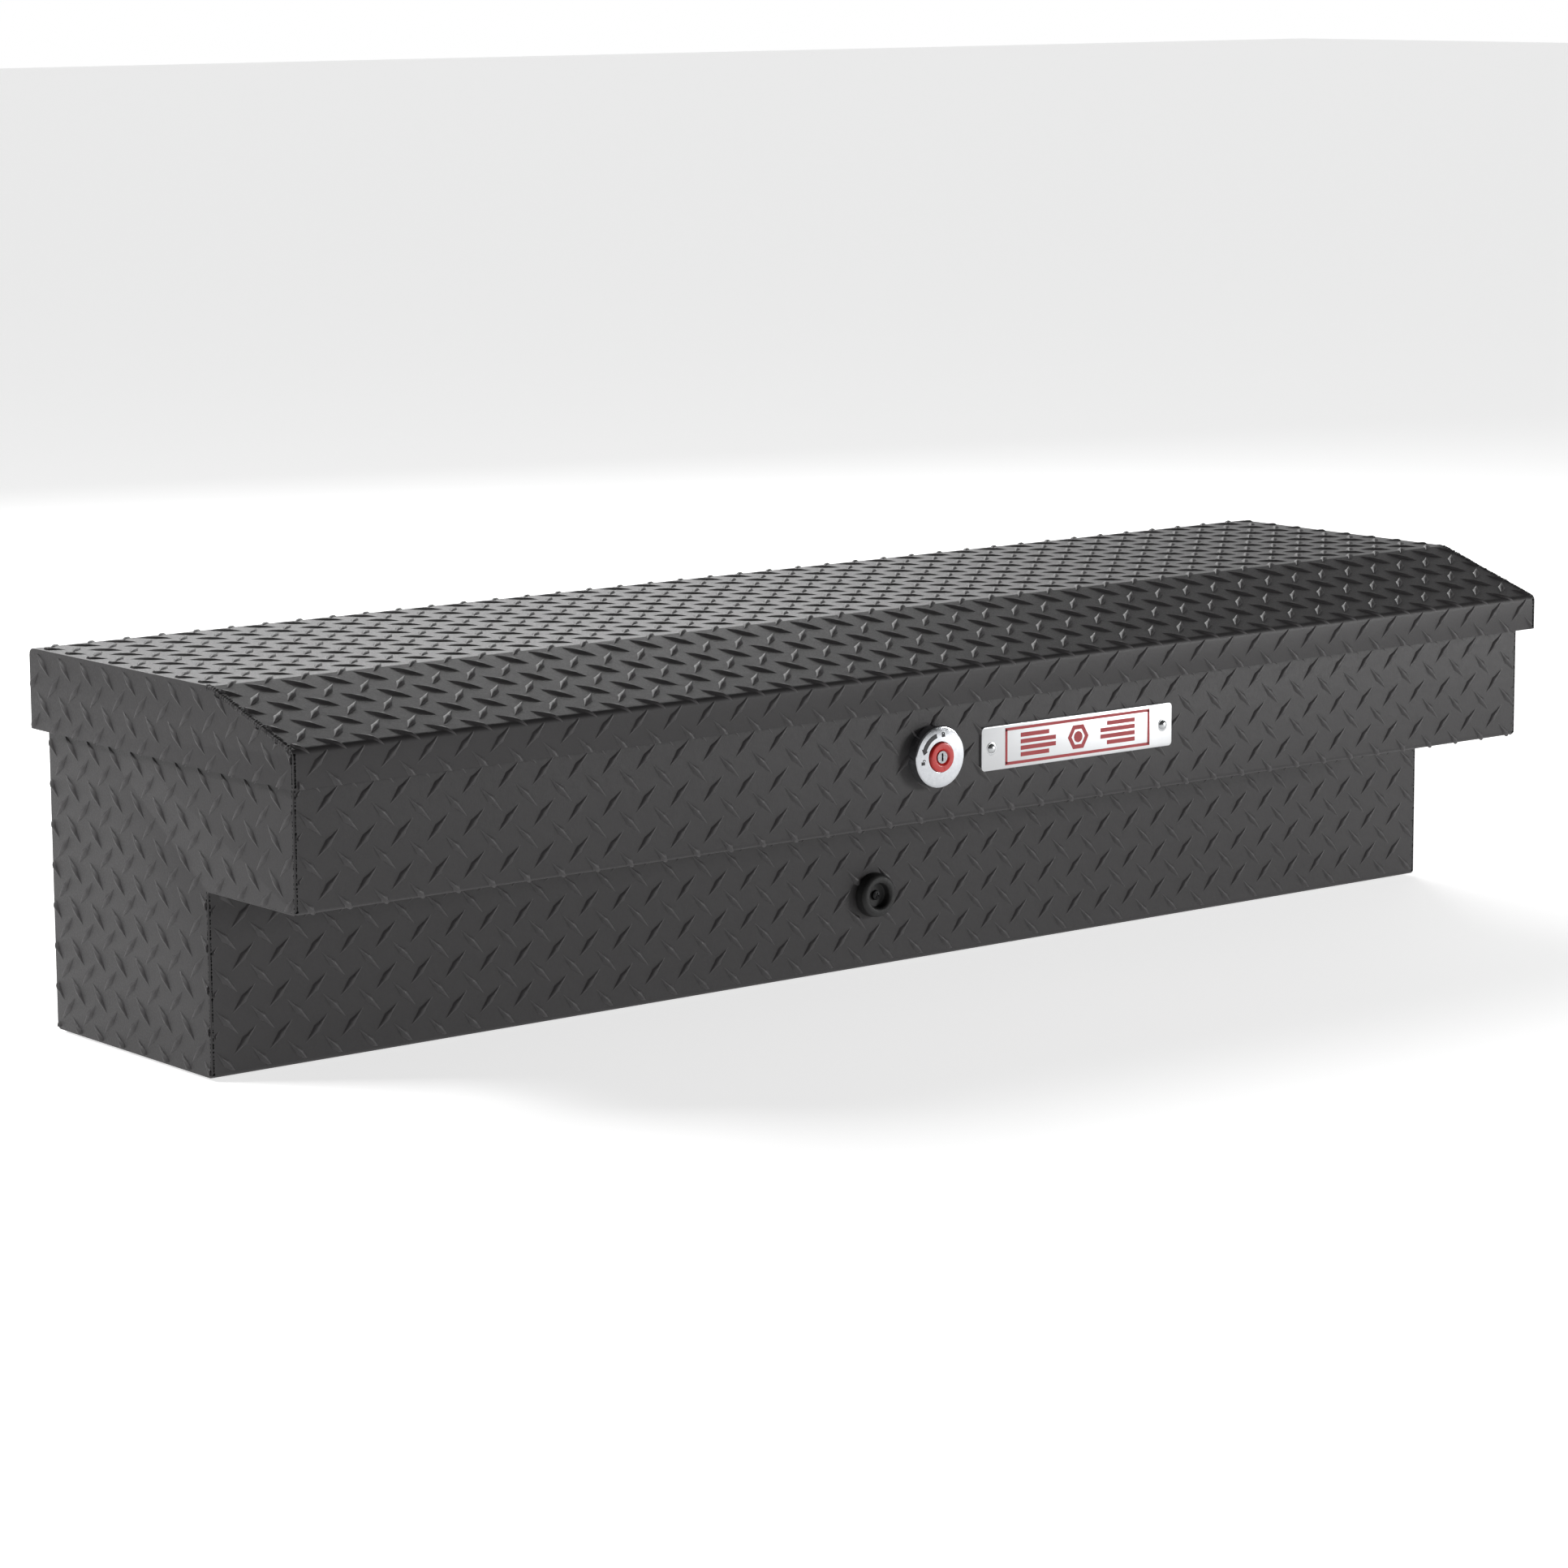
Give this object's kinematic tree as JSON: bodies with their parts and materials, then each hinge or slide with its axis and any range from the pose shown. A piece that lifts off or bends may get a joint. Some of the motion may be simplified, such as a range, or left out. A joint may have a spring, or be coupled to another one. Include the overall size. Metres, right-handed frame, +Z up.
{
  "type": "truck tool box",
  "caption": "Lo-side truck bed tool box in dark tread plate, with a stepped tub, hinged lid, gas struts and push-button lock.",
  "frame": {"origin": "middle of the box's footprint at its lowest face", "axes": "+X along the box to the right seen from the front, -Y towards the front where the lock is, +Z up"},
  "size_m": [1.429, 0.413, 0.333],
  "materials": {
    "powder_coated_tread_plate": "textured matte powder coat",
    "satin_chrome": "satin",
    "red_collar": "gloss",
    "black_rubber": "matt",
    "bare_aluminium": "satin, printed",
    "stainless_hinge": "brushed",
    "zinc_steel": "zinc plated",
    "black_paint": "satin",
    "black_nylon": "matt"
  },
  "bodies": {
    "tub": {"tub_wrapper": "powder_coated_tread_plate", "end_panel_left": "powder_coated_tread_plate", "end_panel_right": "powder_coated_tread_plate", "rim_seal": "black_rubber", "lock_housing": "satin_chrome", "lock_nut": "zinc_steel", "lock_bracket": "zinc_steel", "rod_guides": "black_nylon", "latch_bracket_left": "zinc_steel", "latch_bracket_right": "zinc_steel", "hook_pivots": "zinc_steel", "nameplate": "bare_aluminium", "nameplate_rivets": "bare_aluminium", "bumper": "black_rubber", "bumper_screw": "zinc_steel", "hinge_leaf_tub": "stainless_hinge", "hinge_pin": "stainless_hinge", "hinge_rivets_tub": "stainless_hinge", "strut_mount_left": "zinc_steel", "strut_mount_right": "zinc_steel", "button_spring": "zinc_steel"},
    "lid": {"lid_skin": "powder_coated_tread_plate", "lid_stiffener": "powder_coated_tread_plate", "striker_left": "zinc_steel", "striker_right": "zinc_steel", "hinge_leaf_lid": "stainless_hinge", "hinge_rivets_lid": "stainless_hinge", "strut_hanger_left": "zinc_steel", "strut_hanger_right": "zinc_steel"},
    "button": {"button": "red_collar"},
    "key": {"key_plug": "satin_chrome"},
    "rotor": {"rotor": "zinc_steel"},
    "rod_left": {"rod_left": "zinc_steel"},
    "rod_right": {"rod_right": "zinc_steel"},
    "hook_left": {"hook_left": "zinc_steel"},
    "hook_right": {"hook_right": "zinc_steel"},
    "strut_left": {"strut_cylinder_left": "black_paint"},
    "strut_rod_left": {"strut_rod_left": "zinc_steel"},
    "strut_right": {"strut_cylinder_right": "black_paint"},
    "strut_rod_right": {"strut_rod_right": "zinc_steel"}
  },
  "joints": [
    {"name": "lid_hinge", "type": "hinge", "parent": "tub", "child": "lid", "pos_m": [0, 0.1992, 0.257], "axis": [-1, 0, 0], "range_deg": [0, 80]},
    {"name": "button_push", "type": "slide", "parent": "tub", "child": "button", "axis": [0, 1, 0], "range_m": [0, 0.005], "stiffness_N_per_m": 600, "springref_m": -0.002, "deforming": ["button_spring"]},
    {"name": "key_turn", "type": "hinge", "parent": "button", "child": "key", "pos_m": [-0.038, -0.19, 0.217], "axis": [0, 1, 0], "range_deg": [0, 90]},
    {"name": "rotor_turn", "type": "hinge", "parent": "tub", "child": "rotor", "pos_m": [-0.038, -0.1635, 0.217], "axis": [0, -1, 0], "range_deg": [0, 20]},
    {"name": "rod_right_slide", "type": "slide", "parent": "tub", "child": "rod_right", "axis": [-1, 0, 0], "range_m": [0, 0.0078]},
    {"name": "rod_left_slide", "type": "slide", "parent": "tub", "child": "rod_left", "axis": [1, 0, 0], "range_m": [0, 0.0078]},
    {"name": "hook_right_turn", "type": "hinge", "parent": "tub", "child": "hook_right", "pos_m": [0.54, -0.163, 0.258], "axis": [0, 1, 0], "range_deg": [0, 15.6]},
    {"name": "hook_left_turn", "type": "hinge", "parent": "tub", "child": "hook_left", "pos_m": [-0.54, -0.163, 0.258], "axis": [0, -1, 0], "range_deg": [0, 15.6]},
    {"name": "strut_left_swing", "type": "hinge", "parent": "tub", "child": "strut_left", "pos_m": [-0.682, 0.145, 0.22], "axis": [-1, 0, 0], "range_deg": [0, 76.06]},
    {"name": "strut_left_extend", "type": "slide", "parent": "strut_left", "child": "strut_rod_left", "axis": [0, -0.8931, 0.4499], "range_m": [0, 0.08341]},
    {"name": "strut_right_swing", "type": "hinge", "parent": "tub", "child": "strut_right", "pos_m": [0.682, 0.145, 0.22], "axis": [-1, 0, 0], "range_deg": [0, 76.06]},
    {"name": "strut_right_extend", "type": "slide", "parent": "strut_right", "child": "strut_rod_right", "axis": [0, -0.8931, 0.4499], "range_m": [0, 0.08341]}
  ],
  "couplings": [
    {"joint": "rotor_turn", "follows": "button_push", "rad_per_m": 69.812},
    {"joint": "rod_right_slide", "follows": "button_push", "ratio": 1.56},
    {"joint": "rod_left_slide", "follows": "button_push", "ratio": 1.56},
    {"joint": "hook_right_turn", "follows": "button_push", "rad_per_m": 54.453},
    {"joint": "hook_left_turn", "follows": "button_push", "rad_per_m": 54.453},
    {"joint": "strut_left_swing", "follows": "lid_hinge", "ratio": 0.95056},
    {"joint": "strut_left_extend", "follows": "lid_hinge", "m_per_rad": 0.059702},
    {"joint": "strut_right_swing", "follows": "lid_hinge", "ratio": 0.95056},
    {"joint": "strut_right_extend", "follows": "lid_hinge", "m_per_rad": 0.059702}
  ]
}
